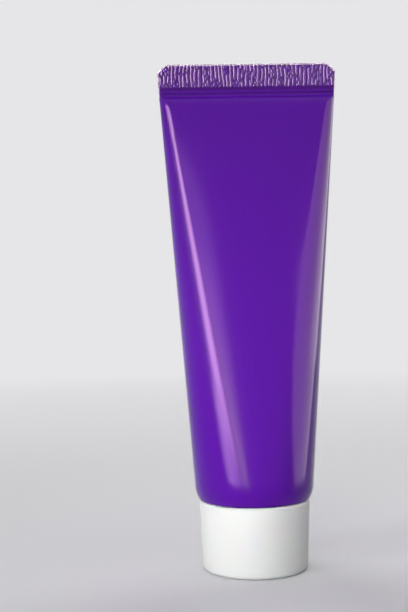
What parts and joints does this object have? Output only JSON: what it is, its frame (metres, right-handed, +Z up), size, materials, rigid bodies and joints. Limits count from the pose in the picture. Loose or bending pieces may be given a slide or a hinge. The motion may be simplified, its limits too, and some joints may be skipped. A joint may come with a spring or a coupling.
{
  "type": "toothpaste tube",
  "caption": "Squeeze tube standing on a wide screw cap, with a flat crimped tail, threaded nozzle, peel-off membrane and paste inside.",
  "frame": {"origin": "centre of the cap's flat resting face, which is the lowest face of the standing tube", "axes": "+Z up along the tube's axis to the crimped tail, X along the flat tail, -Y out of the front face"},
  "size_m": [0.0528, 0.0348, 0.1484],
  "materials": {
    "sleeve_purple": "deep purple laminate, semi-gloss",
    "head_purple": "deep purple moulded polyethylene, satin",
    "foil_silver": "thin aluminium foil with a clear lacquer, lightly creased",
    "paste_white": "smooth wet white paste",
    "liner_foam": "closed-cell white foam sheet, matt",
    "cap_white": "white moulded polypropylene, fine satin"
  },
  "bodies": {
    "cap": {"screw_cap": "cap_white"},
    "liner": {"cap_liner": "liner_foam"},
    "tube": {"tube_sleeve": "sleeve_purple", "shoulder_nozzle": "head_purple", "foil_seal": "foil_silver", "toothpaste": "paste_white"}
  },
  "joints": [
    {"name": "cap_unscrew", "type": "hinge", "parent": "cap", "child": "liner", "pos_m": [0, 0, 0], "axis": [0, 0, 1], "range_deg": [0, 1980]},
    {"name": "cap_draw_off", "type": "slide", "parent": "liner", "child": "tube", "axis": [0, 0, 1], "range_m": [0, 0.01651]}
  ],
  "couplings": [
    {"joint": "cap_draw_off", "follows": "cap_unscrew", "m_per_rad": 0.00047746}
  ]
}
